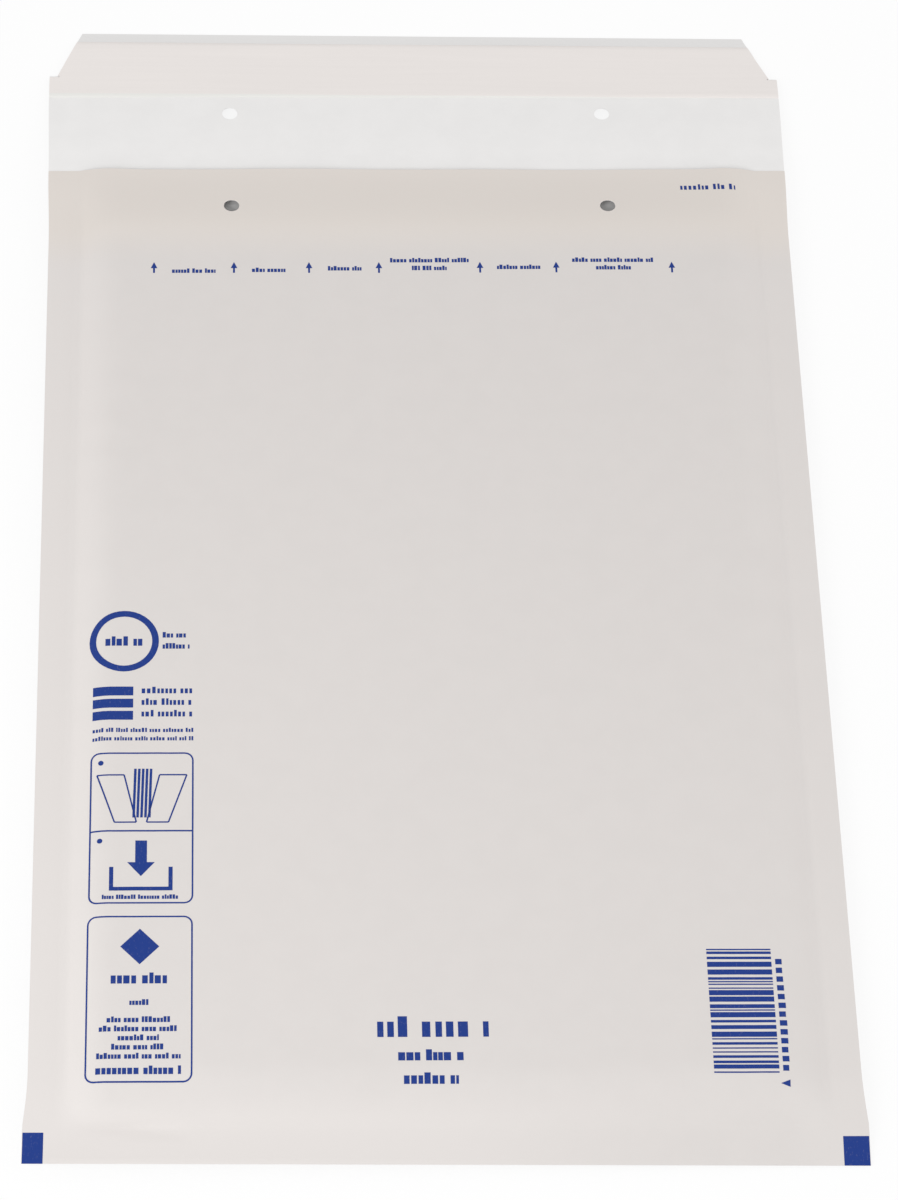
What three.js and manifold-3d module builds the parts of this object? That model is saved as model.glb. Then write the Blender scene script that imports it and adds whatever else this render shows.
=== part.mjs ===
// A padded mailing envelope: a white paper pouch lined with bubble film, lying on its back with its
// flap opened out flat. Millimetres, +Z up. The origin is on the floor under the middle of the
// opened-out length, +X runs across the front to the right and +Y from the bottom edge to the flap.
import * as THREE from "three";
import { mergeVertices } from "three/addons/utils/BufferGeometryUtils.js";
import Module from "manifold-3d";

const wasm = await Module();
wasm.setup();

// Driving dimensions. Distances along the envelope are measured from its bottom edge.
const WIDTH = 240;
const BODY_LENGTH = 350;
const FLAP_LENGTH = 50;
const THICKNESS = 9.5;
const PAPER = 0.15;
const SIDE_SEAM = 10;
const BOTTOM_MARGIN = 11.5;
const MOUTH = 342;
const HOLE_DIAMETER = 5;
const HOLE_SPACING = 122;

// The pad's form, worked out from the dimensions above where it follows from them.
const LENGTH = BODY_LENGTH + FLAP_LENGTH;
const HALF_WIDTH = WIDTH / 2;
const SEAM_LINE = HALF_WIDTH - SIDE_SEAM;
const PAD_HALF = THICKNESS / 2 - PAPER;
const SIDE_RUN = 12.5;
const BOTTOM_RUN = 16.5;
const PAD_BOTTOM = BOTTOM_MARGIN + BOTTOM_RUN;
const MOUTH_RUN = 27;
const MOUTH_FULLNESS = 0.48;
const DRAW_IN = 1.2;
const BOTTOM_EDGE_HEIGHT = 3;
const BOTTOM_EDGE_TWIST = 2.4;
const FLAP_TIP_HEIGHT = 0.25;
const FLAP_LEAD = 10;
const HAIRLINE = 0.01;

// The flap's cut outline, its two rows of fastener holes and its closing strip.
const FLAP_STEP = 382;
const FLAP_STEP_DEPTH = 2.8;
const FLAP_TIP_HALF = 109.6;
const FLAP_FLAT = 373.3;
const FLAP_HOLES = 366.3;
const FRONT_HOLES = 325.8;
const STRIP_TOP = 396.4;
const STRIP_GAP = 0.05;
const RELEASE_PAPER = 0.1;
const ADHESIVE = 0.1;
const ADHESIVE_BOTTOM = 375.5;
const ADHESIVE_TOP = 394.5;
const ADHESIVE_HALF_WIDTH = 108;

// The bubble film pouch inside the paper.
const LINER_GAP = 0.25;
const LINER_HALF_WIDTH = 107;
const LINER_BOTTOM = 15;
const LINER_TOP = 318;
const POCKET_HALF = 2.4;
const POCKET_HALF_WIDTH = 102;
const POCKET_BOTTOM = 22;
const POCKET_RUN = 14;

// How finely the curved stretches are cut, and how far cutters reach past what they cut.
const SLOPE_STEPS = 6;
const HOLE_SIDES = 24;
const REACH = 4;
const TALL = 40;

const { clamp, lerp, smoothstep } = THREE.MathUtils;

// A quarter sine from 0 to 1: steep where the papers part at a seam, level on top of the pad.
function swell(distance, run) {
  return Math.sin((Math.PI / 2) * clamp(distance / run, 0, 1));
}

// How full the pad is at a distance along the envelope, from 0 where it is pressed flat to 1.
function fullness(along) {
  const fromBottom = swell(along - BOTTOM_MARGIN, BOTTOM_RUN);
  const towardsMouth = 1 - (1 - MOUTH_FULLNESS) * smoothstep(along, MOUTH - MOUTH_RUN, MOUTH);
  const pastMouth = 1 - smoothstep(along, MOUTH, FLAP_FLAT);
  return fromBottom * towardsMouth * pastMouth;
}

// Half the space between the two papers at a point of the envelope.
function padHalf(x, along) {
  return PAD_HALF * swell(SEAM_LINE - Math.abs(x), SIDE_RUN) * fullness(along);
}

// Height of the seam plane, in which the two papers meet. It sinks towards the bottom edge, whose
// left corner lifts and right corner drops, and from just below the mouth to the tip of the flap.
function seamHeight(x, along) {
  const rise = lerp(BOTTOM_EDGE_HEIGHT, THICKNESS / 2, smoothstep(along, 0, PAD_BOTTOM));
  const fall = smoothstep(along, MOUTH - FLAP_LEAD, LENGTH) * (THICKNESS / 2 - FLAP_TIP_HEIGHT);
  const twist = BOTTOM_EDGE_TWIST * (x / HALF_WIDTH) * clamp(1 - along / PAD_BOTTOM, 0, 1) ** 2;
  return rise - fall - twist;
}

// The four faces of the paper pouch as heights.
const frontInner = (x, along) => seamHeight(x, along) + padHalf(x, along);
const frontOuter = (x, along) => frontInner(x, along) + PAPER;
const backInner = (x, along) => seamHeight(x, along) - padHalf(x, along);
const backOuter = (x, along) => backInner(x, along) - PAPER;

// Half the thickness of the liner, and of the pocket between its two walls.
const linerHalf = (x, along) => padHalf(x, along) - LINER_GAP;
function pocketHalf(x, along) {
  const across = swell(POCKET_HALF_WIDTH - Math.abs(x), POCKET_RUN);
  return POCKET_HALF * across * swell(along - POCKET_BOTTOM, POCKET_RUN) + HAIRLINE;
}

// Evenly spaced values from one end to the other, both included.
function spaced(from, to, steps) {
  return Array.from({ length: steps + 1 }, (_, i) => lerp(from, to, i / steps));
}

// Columns across the envelope that are close together on the slopes beside the seams.
function columnsTo(edge, slopeFrom, slopeTo) {
  const right = [...new Set([...spaced(slopeFrom, slopeTo, SLOPE_STEPS), edge])];
  return [...right.map((x) => -x).reverse(), 0, ...right];
}

// A closed slab between two height surfaces over a grid. The pad draws the paper's sides in.
function slab(columns, rows, top, bottom) {
  const box = new THREE.BoxGeometry(1, 1, 1, columns.length - 1, rows.length - 1, 1);
  const position = box.getAttribute("position");
  for (let i = 0; i < position.count; i++) {
    const x = columns[Math.round((position.getX(i) + 0.5) * (columns.length - 1))];
    const along = rows[Math.round((position.getY(i) + 0.5) * (rows.length - 1))];
    const height = position.getZ(i) > 0 ? top(x, along) : bottom(x, along);
    const drawn = 1 - (DRAW_IN * fullness(along)) / HALF_WIDTH;
    position.setXYZ(i, x * drawn, along - LENGTH / 2, height);
  }
  return solidOf(box);
}

// A closed geometry as a solid for joining and cutting, and back.
function solidOf(geometry) {
  const bare = new THREE.BufferGeometry().setIndex(geometry.index);
  bare.setAttribute("position", geometry.getAttribute("position"));
  const merged = mergeVertices(bare);
  const vertProperties = merged.getAttribute("position").array;
  const triVerts = new Uint32Array(merged.index.array);
  return new wasm.Manifold(new wasm.Mesh({ numProp: 3, vertProperties, triVerts }));
}

function geometryOf(solid) {
  const { vertProperties, triVerts } = solid.getMesh();
  const geometry = new THREE.BufferGeometry();
  geometry.setAttribute("position", new THREE.BufferAttribute(vertProperties, 3));
  geometry.setIndex(new THREE.BufferAttribute(triVerts, 1));
  return geometry.toNonIndexed();
}

// A round punch through a sheet, standing on a point of the envelope.
function punch(x, along, from) {
  const pin = new THREE.CylinderGeometry(HOLE_DIAMETER / 2, HOLE_DIAMETER / 2, TALL, HOLE_SIDES);
  pin.rotateX(Math.PI / 2);
  pin.translate(x, along - LENGTH / 2, from + TALL / 2);
  return solidOf(pin);
}

// The die that trims one corner of the flap: a small step in, then a slanting cut to the tip.
function cornerDie(side) {
  const outline = new THREE.Shape();
  outline.moveTo(HALF_WIDTH + REACH, FLAP_STEP);
  outline.lineTo(HALF_WIDTH + REACH, LENGTH + REACH);
  outline.lineTo(FLAP_TIP_HALF, LENGTH + REACH);
  outline.lineTo(FLAP_TIP_HALF, LENGTH);
  outline.lineTo(HALF_WIDTH - FLAP_STEP_DEPTH, FLAP_STEP + 1);
  outline.lineTo(HALF_WIDTH, FLAP_STEP);
  const die = new THREE.ExtrudeGeometry(outline, { depth: TALL, bevelEnabled: false });
  die.translate(0, -LENGTH / 2, -TALL / 2);
  if (side < 0) {
    die.rotateZ(Math.PI);
    die.rotateX(Math.PI);
  }
  return mergedDie(die);
}

// ExtrudeGeometry has no index, so its shared corners are found before it becomes a solid.
function mergedDie(geometry) {
  geometry.deleteAttribute("normal");
  geometry.deleteAttribute("uv");
  return solidOf(mergeVertices(geometry));
}

const paperColumns = columnsTo(HALF_WIDTH, SEAM_LINE - SIDE_RUN, SEAM_LINE);
const linerColumns = columnsTo(LINER_HALF_WIDTH, SEAM_LINE - SIDE_RUN, LINER_HALF_WIDTH);
const pocketColumns = columnsTo(POCKET_HALF_WIDTH, POCKET_HALF_WIDTH - POCKET_RUN, POCKET_HALF_WIDTH);
const bottomRows = spaced(BOTTOM_MARGIN, PAD_BOTTOM, SLOPE_STEPS);
const mouthRows = spaced(MOUTH - MOUTH_RUN, MOUTH, SLOPE_STEPS);
const flapRows = [
  ...spaced(MOUTH, FLAP_FLAT, SLOPE_STEPS),
  ...spaced(ADHESIVE_BOTTOM, ADHESIVE_TOP, SLOPE_STEPS),
  STRIP_TOP,
  LENGTH,
];
const cornerDies = [-1, 1].map(cornerDie);

function trimCorners(solid) {
  return cornerDies.reduce((left, die) => left.subtract(die), solid);
}

// One sheet of paper: back panel, flap and front panel, folded at the bottom edge and bonded along
// both sides. The flap runs on from the back panel, and both closing rows of holes are punched.
function paperEnvelope() {
  const body = slab(paperColumns, [0, ...bottomRows, ...mouthRows], frontOuter, backOuter);
  const inside = slab(
    columnsTo(SEAM_LINE, SEAM_LINE - SIDE_RUN, SEAM_LINE),
    [...bottomRows, ...mouthRows, MOUTH + REACH],
    (x, along) => frontInner(x, Math.min(along, MOUTH)) + HAIRLINE,
    (x, along) => backInner(x, Math.min(along, MOUTH)) - HAIRLINE,
  );
  const flap = slab(paperColumns, flapRows, backInner, backOuter);
  const holes = [-1, 1].flatMap((side) => [
    punch((side * HOLE_SPACING) / 2, FLAP_HOLES, -TALL / 2),
    punch((side * HOLE_SPACING) / 2, FRONT_HOLES, THICKNESS / 2),
  ]);
  const pouch = body.subtract(inside).add(flap);
  return holes.reduce((left, hole) => left.subtract(hole), trimCorners(pouch));
}

// Bubble film folded into a pouch, its two walls as thick as the bubbles stand high.
function bubbleLiner() {
  const bottom = spaced(LINER_BOTTOM, PAD_BOTTOM, SLOPE_STEPS);
  const outer = slab(
    linerColumns,
    [...bottom, MOUTH - MOUTH_RUN, LINER_TOP],
    (x, along) => seamHeight(x, along) + linerHalf(x, along),
    (x, along) => seamHeight(x, along) - linerHalf(x, along),
  );
  const floor = spaced(POCKET_BOTTOM, POCKET_BOTTOM + POCKET_RUN, SLOPE_STEPS);
  const pocket = slab(
    pocketColumns,
    [...floor, MOUTH - MOUTH_RUN, LINER_TOP + REACH],
    (x, along) => seamHeight(x, along) + pocketHalf(x, along),
    (x, along) => seamHeight(x, along) - pocketHalf(x, along),
  );
  return outer.subtract(pocket);
}

// A strip that lies on the flap's inner face, from one distance along it to another.
function flapStrip(halfWidth, from, to, lift, thickness) {
  const columns = [-halfWidth, 0, halfWidth];
  const rows = flapRows.filter((along) => along >= from && along <= to);
  const under = (x, along) => backInner(x, along) + lift;
  return trimCorners(slab(columns, rows, (x, along) => under(x, along) + thickness, under));
}

function piece(name, solid, colour, roughness) {
  const material = new THREE.MeshStandardMaterial({ color: colour, roughness, metalness: 0 });
  const mesh = new THREE.Mesh(geometryOf(solid), material);
  mesh.geometry.computeVertexNormals();
  mesh.name = name;
  return mesh;
}

const adhesive = flapStrip(ADHESIVE_HALF_WIDTH, ADHESIVE_BOTTOM, ADHESIVE_TOP, STRIP_GAP, ADHESIVE);
const releaseLift = STRIP_GAP + ADHESIVE + STRIP_GAP;
const release = flapStrip(HALF_WIDTH, FLAP_FLAT, STRIP_TOP, releaseLift, RELEASE_PAPER);

const envelope = new THREE.Group();
envelope.name = "padded_envelope";
envelope.add(
  piece("paper_envelope", paperEnvelope(), 0xdad5d2, 0.75),
  piece("bubble_liner", bubbleLiner(), 0xe6eaec, 0.25),
  piece("adhesive_strip", adhesive, 0xe9e2cf, 0.35),
  piece("release_liner", release, 0xe2dedb, 0.4),
);

export default envelope;
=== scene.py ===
"""Padded envelope: the looks of a white paper mailing pouch that is lined with bubble film.

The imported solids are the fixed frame, and every piece made here lies where its solid lies. Lengths are
in metres. "along" is the distance from the envelope's bottom edge towards the tip of its flap, and "x"
runs across the front panel to the right.
"""

import math
import random

import bmesh
import bpy
from mathutils import Euler, Matrix, Vector, noise


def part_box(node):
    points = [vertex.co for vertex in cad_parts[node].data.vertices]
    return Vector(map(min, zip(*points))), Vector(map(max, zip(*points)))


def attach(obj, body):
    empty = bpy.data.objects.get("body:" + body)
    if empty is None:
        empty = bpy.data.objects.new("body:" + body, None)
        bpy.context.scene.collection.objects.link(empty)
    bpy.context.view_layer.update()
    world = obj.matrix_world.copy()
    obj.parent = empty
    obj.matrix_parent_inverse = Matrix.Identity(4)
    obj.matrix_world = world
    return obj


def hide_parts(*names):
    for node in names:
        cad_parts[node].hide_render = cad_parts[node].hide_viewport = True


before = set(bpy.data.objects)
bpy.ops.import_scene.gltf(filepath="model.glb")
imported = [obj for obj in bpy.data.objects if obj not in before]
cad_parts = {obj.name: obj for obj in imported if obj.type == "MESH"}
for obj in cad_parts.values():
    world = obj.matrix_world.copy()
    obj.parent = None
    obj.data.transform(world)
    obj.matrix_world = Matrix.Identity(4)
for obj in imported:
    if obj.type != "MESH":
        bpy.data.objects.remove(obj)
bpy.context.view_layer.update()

bl_info = {
    "name": "Padded envelope",
    "version": (1, 0, 0),
    "blender": (4, 5, 0),
    "location": "3D View > Sidebar > Envelope",
    "description": "Dresses the solids of a padded envelope with paper, bubble film, strips and print",
    "category": "Add Mesh",
}

MM = 0.001
# Where the paper is scored across its fold at the bottom, as shares of the fold's half thickness.
NOSE_ROWS = (-1.0, -0.35, 0.0, 0.35, 1.0)
ROOT = "root"

# Places that come from the solids.
PAPER_LOW, PAPER_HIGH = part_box("paper_envelope")
FILM_LOW, FILM_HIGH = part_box("bubble_liner")
RELEASE_LOW, RELEASE_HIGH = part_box("release_liner")
ADHESIVE_LOW, ADHESIVE_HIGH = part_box("adhesive_strip")
BOTTOM = PAPER_LOW.y
LENGTH = PAPER_HIGH.y - PAPER_LOW.y
HALF_WIDTH = PAPER_HIGH.x
THICKNESS = PAPER_HIGH.z
FILM_BOTTOM = FILM_LOW.y - BOTTOM
FILM_TOP = FILM_HIGH.y - BOTTOM
STRIP_BOTTOM = RELEASE_LOW.y - BOTTOM
STRIP_TOP = RELEASE_HIGH.y - BOTTOM


def length(name, description, default):
    """A property that holds a length."""
    return bpy.props.FloatProperty(
        name=name, description=description, default=default, unit="LENGTH", precision=5
    )


def share(name, description, default):
    """A property that holds a share from 0 to 1."""
    return bpy.props.FloatProperty(
        name=name, description=description, default=default, min=0, max=1, subtype="FACTOR"
    )


def colour(name, description, default):
    """A property that holds a colour, in linear light."""
    return bpy.props.FloatVectorProperty(
        name=name, description=description, default=default, size=3, min=0, max=1, subtype="COLOR"
    )


class FormSizes(bpy.types.PropertyGroup):
    """The padded form that every piece lies on."""

    paper_wall: length("Paper wall", "From the seam plane to the outer face of one panel", 0.15 * MM)
    side_seam: length("Side seam", "Width of the bonded margin along each side", 10 * MM)
    side_run: length("Side slope", "From the side seam to the level top of the pad", 12.5 * MM)
    bottom_margin: length("Bottom margin", "Height of the flat margin at the bottom edge", 11.5 * MM)
    bottom_run: length("Bottom slope", "From the bottom margin to the level top", 16.5 * MM)
    mouth: length("Mouth", "From the bottom edge to the edge of the front panel", 342 * MM)
    mouth_run: length("Mouth slope", "Stretch over which the front panel sinks to the mouth", 27 * MM)
    mouth_fullness: share("Mouth fullness", "How far the mouth gapes beside the full pad", 0.48)
    flap_lead: length("Flap lead", "From where the seams start to sink to the mouth", 10 * MM)
    draw_in: length("Draw-in", "How far the pad pulls each side in", 1.2 * MM)
    bottom_height: length("Bottom edge height", "Height of the bottom edge's middle", 3 * MM)
    bottom_twist: length("Bottom edge twist", "Rise of the left corner, fall of the right one", 2.4 * MM)
    tip_height: length("Flap tip height", "Height of the tip of the flap", 0.25 * MM)
    flap_step: length("Flap step", "Where the flap's trimmed corners start", 382 * MM)
    flap_step_depth: length("Flap step depth", "How far the corners step in", 2.6 * MM)
    flap_tip_half: length("Flap tip half width", "Half the width of the flap at its tip", 109.6 * MM)


class PaperLook(bpy.types.PropertyGroup):
    """The sheet of paper, its surface and its colours."""

    sheet: length("Sheet", "Thickness of the paper", 0.11 * MM)
    pitch: length("Mesh pitch", "Size of the sheet's mesh cells", 2 * MM)
    hole_radius: length("Hole radius", "Radius of the punched holes", 2.5 * MM)
    hole_half_spacing: length("Hole half spacing", "From the middle to each hole", 61 * MM)
    flap_holes: length("Flap holes", "Distance of the flap's holes along the envelope", 366.3 * MM)
    front_holes: length("Front holes", "Distance of the front panel's holes", 325.8 * MM)
    imprint: length("Imprint", "How far the bubbles show through the paper", 0.04 * MM)
    wander: length("Wander", "Slow rise and fall of the padded panel", 0.3 * MM)
    pucker: length("Pucker", "Small gathers on the slopes beside the seams", 0.3 * MM)
    crumple: length("Crumple", "Depth of the crease at the bottom left corner", 0.9 * MM)
    mouth_wave: length("Mouth wave", "How unevenly the mouth's edge lies", 0.5 * MM)
    mouth_sink: length("Mouth sink", "How far the front panel hangs down at the mouth", 1.0 * MM)
    mouth_retreat: length("Mouth retreat", "How far the pad pulls back the middle of the mouth", 0.2 * MM)
    closing: share("Closing", "How far the back panel rises to the front past the film", 0.58)
    askew: length("Askew", "How far the right of the mouth lies ahead of its left", 1.0 * MM)
    outside: colour("Outside", "Colour of the paper's outer face", (0.715, 0.680, 0.660))
    mouth_tint: colour("Mouth tint", "Outer face where no film backs it", (0.755, 0.703, 0.659))
    # The seam tint is paler paper where the panels are bonded, and also painted light: it lightens the
    # slopes beside the seams, more on the left than on the right, and the bottom margin on the left only.
    seam_tint_and_painted_light: colour("Seam tint", "Outer face where both panels are bonded", (0.750, 0.713, 0.692))
    inside: colour("Inside", "Colour of the paper's inner face", (0.885, 0.874, 0.866))


class FilmLook(bpy.types.PropertyGroup):
    """The bubble film inside the paper."""

    film: length("Film", "Thickness of the flat film", 0.1 * MM)
    pitch: length("Mesh pitch", "Size of the film's mesh cells", 3.5 * MM)
    bubble_radius: length("Bubble radius", "Radius of a bubble at the film", 4.8 * MM)
    bubble_pitch: length("Bubble pitch", "From one bubble to the next in a row", 10.6 * MM)
    gap: length("Gap", "Between the bubbles and the paper", 0.3 * MM)
    pocket_half: length("Pocket half height", "Half the height of the empty pocket", 2.4 * MM)
    pocket_half_width: length("Pocket half width", "Half the width of the pocket", 102 * MM)
    pocket_bottom: length("Pocket bottom", "Where the pocket starts", 22 * MM)
    pocket_run: length("Pocket slope", "Stretch over which the pocket opens", 14 * MM)
    fill: share("Fill", "How tight the bubbles are", 0.5)
    tint: colour("Tint", "Colour of the film", (0.80, 0.83, 0.84))


class StripLook(bpy.types.PropertyGroup):
    """The closing strip on the flap."""

    sheet: length("Release paper", "Thickness of the release paper", 0.08 * MM)
    lift: length("Lift", "Height of the release paper over the flap", 0.2 * MM)
    bead: length("Bead", "Height of the adhesive's top over the flap", 0.13 * MM)
    curl: length("Curl", "How unevenly the long edges lie", 0.12 * MM)
    release: colour("Release paper", "Colour of the release paper", (0.860, 0.815, 0.790))
    # Painted highlight: the lower edge of the release paper is drawn in a lighter, more neutral colour,
    # standing in for the edge catching the light.
    edge_painted_highlight: colour("Dry edge", "Colour of its lower edge, which has no coating", (0.835, 0.830, 0.800))
    adhesive: colour("Adhesive", "Colour of the hot-melt adhesive", (0.78, 0.70, 0.52))


class PrintLook(bpy.types.PropertyGroup):
    """The printed marks on the front panel."""

    lift: length("Lift", "Height of the ink over the paper", 0.03 * MM)
    ink: colour("Ink", "Colour of the print", (0.011, 0.040, 0.233))


class StageLook(bpy.types.PropertyGroup):
    """Floor, light and camera."""

    floor: colour("Floor", "Colour of the floor", (0.90, 0.90, 0.90))
    glow: share("Glow", "How far the floor is seen as plain white", 0.88)
    sky: bpy.props.FloatProperty(name="Sky", description="Light from all round", default=0.70)
    key: bpy.props.FloatProperty(name="Key", description="Power of the left lamp", default=4.15)
    fill: bpy.props.FloatProperty(name="Fill", description="Power of the right lamp", default=3.73)
    lens: bpy.props.FloatProperty(
        name="Lens", description="Focal length", default=118.3, subtype="DISTANCE_CAMERA"
    )


class EnvelopeSettings(bpy.types.PropertyGroup):
    """All settings of the envelope."""

    form: bpy.props.PointerProperty(type=FormSizes)
    paper: bpy.props.PointerProperty(type=PaperLook)
    film: bpy.props.PointerProperty(type=FilmLook)
    strip: bpy.props.PointerProperty(type=StripLook)
    print: bpy.props.PointerProperty(type=PrintLook)
    stage: bpy.props.PointerProperty(type=StageLook)


def clamp(value, low=0.0, high=1.0):
    return max(low, min(high, value))


def ease(value, start, end):
    """A smooth step from 0 at start to 1 at end."""
    t = clamp((value - start) / (end - start))
    return t * t * (3 - 2 * t)


def swell(distance, run):
    """A quarter sine: steep where two sheets part at a seam, level at the end of the run."""
    return math.sin(math.pi / 2 * clamp(distance / run))


def bell(distance, width):
    """A soft bump of height 1 that has faded out at twice its width."""
    return math.exp(-((distance / width) ** 2))


def drift(x, y, seed):
    """Smooth noise about 0 with features one unit across."""
    return noise.noise(Vector((x, y, 7.31 * seed)))


class PadForm:
    """Where the paper and the film lie, worked out from the settings and the solids."""

    def __init__(self, settings):
        form, paper, film = settings.form, settings.paper, settings.film
        self.wall = form.paper_wall
        self.seam_line = HALF_WIDTH - form.side_seam
        self.side_run = form.side_run
        self.bottom_margin = form.bottom_margin
        self.bottom_run = form.bottom_run
        self.pad_bottom = form.bottom_margin + form.bottom_run
        self.mouth = form.mouth
        self.slope_start = form.mouth - form.mouth_run
        self.mouth_fullness = form.mouth_fullness
        self.sink_start = form.mouth - form.flap_lead
        self.draw_in = form.draw_in
        self.bottom_height = form.bottom_height
        self.twist = form.bottom_twist
        self.tip_height = form.tip_height
        self.full_half = THICKNESS / 2 - form.paper_wall
        self.sheet = paper.sheet
        self.imprint = paper.imprint
        self.wander = paper.wander
        self.pucker = paper.pucker
        self.crumple = paper.crumple
        self.mouth_wave = paper.mouth_wave
        self.mouth_sink = paper.mouth_sink
        self.mouth_retreat = paper.mouth_retreat
        self.closing = paper.closing
        self.askew = paper.askew
        self.bubble_pitch = film.bubble_pitch
        self.bubble_row = film.bubble_pitch * math.sqrt(3) / 2
        self.pocket_half_most = film.pocket_half
        self.pocket_half_width = film.pocket_half_width
        self.pocket_bottom = film.pocket_bottom
        self.pocket_run = film.pocket_run

    def fullness(self, along):
        """How full the pad is, from 0 where it is pressed flat to 1."""
        bottom = swell(along - self.bottom_margin, self.bottom_run)
        mouth = 1 - (1 - self.mouth_fullness) * ease(along, self.slope_start, self.mouth)
        flap = 1 - ease(along, self.mouth, STRIP_BOTTOM)
        return bottom * mouth * flap

    def pad_half(self, x, along):
        """Half the space between the two panels."""
        return self.full_half * swell(self.seam_line - abs(x), self.side_run) * self.fullness(along)

    def pocket_half(self, x, along):
        """Half the space between the two walls of film."""
        across = swell(self.pocket_half_width - abs(x), self.pocket_run)
        return self.pocket_half_most * across * swell(along - self.pocket_bottom, self.pocket_run)

    def seam_height(self, x, along):
        """Height of the plane in which the two panels meet."""
        rise = self.bottom_height
        rise += (THICKNESS / 2 - self.bottom_height) * ease(along, 0, self.pad_bottom)
        fall = (THICKNESS / 2 - self.tip_height) * ease(along, self.sink_start, LENGTH)
        twist = self.twist * x / HALF_WIDTH * clamp(1 - along / self.pad_bottom) ** 2
        return rise - fall - twist + self.corner_crease(x, along)

    def nose(self, along):
        """From the seam plane to the paper's outer face: a half round at the bottom fold."""
        return self.wall * math.sqrt(1 - (1 - min(1, along / self.wall)) ** 2)

    def drawn(self, along):
        """How much narrower the pad makes the envelope."""
        return 1 - self.draw_in * self.fullness(along) / HALF_WIDTH

    def nearest_bubble(self, x, along):
        """Distance to the middle of the nearest bubble of the film."""
        row = math.floor(along / self.bubble_row)
        best = self.bubble_pitch
        for r in (row, row + 1):
            shift = self.bubble_pitch / 2 * (r % 2)
            column = round((x - shift) / self.bubble_pitch)
            centre_x = column * self.bubble_pitch + shift
            best = min(best, math.hypot(x - centre_x, along - r * self.bubble_row))
        return best

    def backed(self, x, along):
        """1 where film lies behind the paper, 0 where none does."""
        start = ease(along, FILM_BOTTOM + 4 * MM, FILM_BOTTOM + 16 * MM)
        end = 1 - ease(along, FILM_TOP - 8 * MM, FILM_TOP + 2 * MM)
        return start * end * ease(FILM_HIGH.x - abs(x), 2 * MM, 14 * MM)

    def gathers(self, x, along):
        """Small gathers on the slopes beside the seams and above the bottom margin."""
        side = bell(abs(x) - (self.seam_line - 8 * MM), 8 * MM)
        side *= ease(along, self.bottom_margin, self.pad_bottom) * (1 - ease(along, FILM_TOP, self.mouth))
        side *= drift(along / (9 * MM), x / (60 * MM), 1 + (x > 0))
        bottom = bell(along - self.pad_bottom + 7 * MM, 6 * MM)
        bottom *= ease(self.seam_line - abs(x), 0, 12 * MM)
        bottom *= drift(x / (11 * MM), along / (50 * MM), 3)
        return self.pucker * (side + 0.8 * bottom)

    def corner_crease(self, x, along):
        """The dent at the bottom left, where the pad's corner has folded on itself."""
        run = clamp((x + 106 * MM) / (34 * MM))
        line = self.bottom_margin + 1.5 * MM - 3 * MM * run
        fade = math.sin(math.pi * run) ** 0.7 if 0 < run < 1 else 0
        ridge = 0.5 * bell(along - line - 3.4 * MM, 2.2 * MM)
        return self.crumple * fade * (ridge - bell(along - line, 1.6 * MM))

    def front_relief(self, x, along):
        """How far the front panel stands off its smooth form."""
        bubble = math.cos(math.pi / 2 * clamp(self.nearest_bubble(x, along) / (5.3 * MM)))
        pad = self.backed(x, along)
        height = pad * self.imprint * (bubble - 0.5)
        height += pad * self.wander * drift(x / (75 * MM), along / (95 * MM), 4)
        height += self.gathers(x, along)
        wave = 0.8 * bell(x + 36 * MM, 22 * MM) + drift(x / (42 * MM), 0.4, 5)
        return height + self.at_mouth(x, along) * (self.mouth_wave * wave - self.mouth_sink)

    def at_mouth(self, x, along):
        """1 along the mouth's edge between the seams, fading out down the front panel."""
        return ease(along, self.slope_start, self.mouth) * ease(self.seam_line - abs(x), 0, 20 * MM)

    def lean(self, x, along):
        """How far a point lies ahead of a square sheet, for the panel was folded slightly askew."""
        far = ease(along, 120 * MM, self.mouth) * (1 - ease(along, 370 * MM, 392 * MM))
        return self.askew * x / HALF_WIDTH * far

    def back_relief(self, x, along):
        """How far the back panel and the flap rise off their smooth form. None of it goes down."""
        bubble = math.cos(math.pi / 2 * clamp(self.nearest_bubble(x, along) / (5.3 * MM)))
        height = self.backed(x, along) * self.imprint * (1 - bubble)
        height += abs(self.gathers(x, along))
        on_flap = ease(along, self.mouth, self.mouth + 25 * MM) * (1 - ease(along, LENGTH - 7 * MM, LENGTH))
        height += 0.35 * MM * on_flap * (1 + drift(x / (55 * MM), along / (26 * MM), 6))
        fold = 0.12 * MM * bell(along - 348 * MM, 1.6 * MM)
        past_film = ease(along, FILM_TOP + 1 * MM, FILM_TOP + 11 * MM)
        return height - fold + self.closing * past_film * 2 * self.pad_half(x, along)

    def front_point(self, x, along, lift=0.0):
        """A point on the outer face of the front panel."""
        height = self.seam_height(x, along) + self.pad_half(x, along) + self.nose(along)
        edge = 0.5 * self.mouth_wave * drift(x / (38 * MM), 2.7, 8) - self.mouth_retreat
        y = BOTTOM + along + self.lean(x, along) + self.at_mouth(x, along) * edge
        return Vector((x * self.drawn(along), y, height + self.front_relief(x, along) + lift))

    def back_point(self, x, along):
        """A point on the outer face of the back panel or of the flap."""
        height = self.seam_height(x, along) - self.pad_half(x, along) - self.nose(along)
        y = BOTTOM + along + self.lean(x, along)
        return Vector((x * self.drawn(along), y, height + self.back_relief(x, along)))

    def flap_point(self, x, along, lift):
        """A point over the inner face of the flap."""
        return self.back_point(x, along) + Vector((0, 0, self.sheet + lift))


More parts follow.
